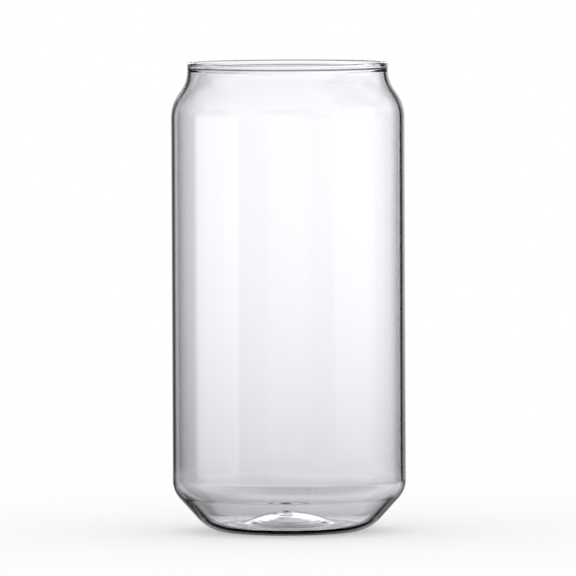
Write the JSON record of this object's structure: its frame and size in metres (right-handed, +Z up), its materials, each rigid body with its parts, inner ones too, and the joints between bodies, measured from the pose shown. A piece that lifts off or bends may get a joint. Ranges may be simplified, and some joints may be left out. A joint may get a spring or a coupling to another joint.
{
  "type": "can shaped drinking glass",
  "caption": "Tall clear drinking glass with the outline of a drinks can: straight side, sloping shoulder, narrow neck with a rounded lip, steep heel and a domed bottom.",
  "frame": {"origin": "on the axis of the glass, in the plane it stands on", "axes": "+Z up along the axis, out of the mouth; +X and +Y are any two directions across, because the glass is round"},
  "size_m": [0.076, 0.076, 0.153],
  "materials": {
    "clear_glass": "clear, colourless and fire polished, with the faintest cool grey in its thickest parts"
  },
  "bodies": {
    "root": {"glass_vessel": "clear_glass"}
  },
  "joints": []
}
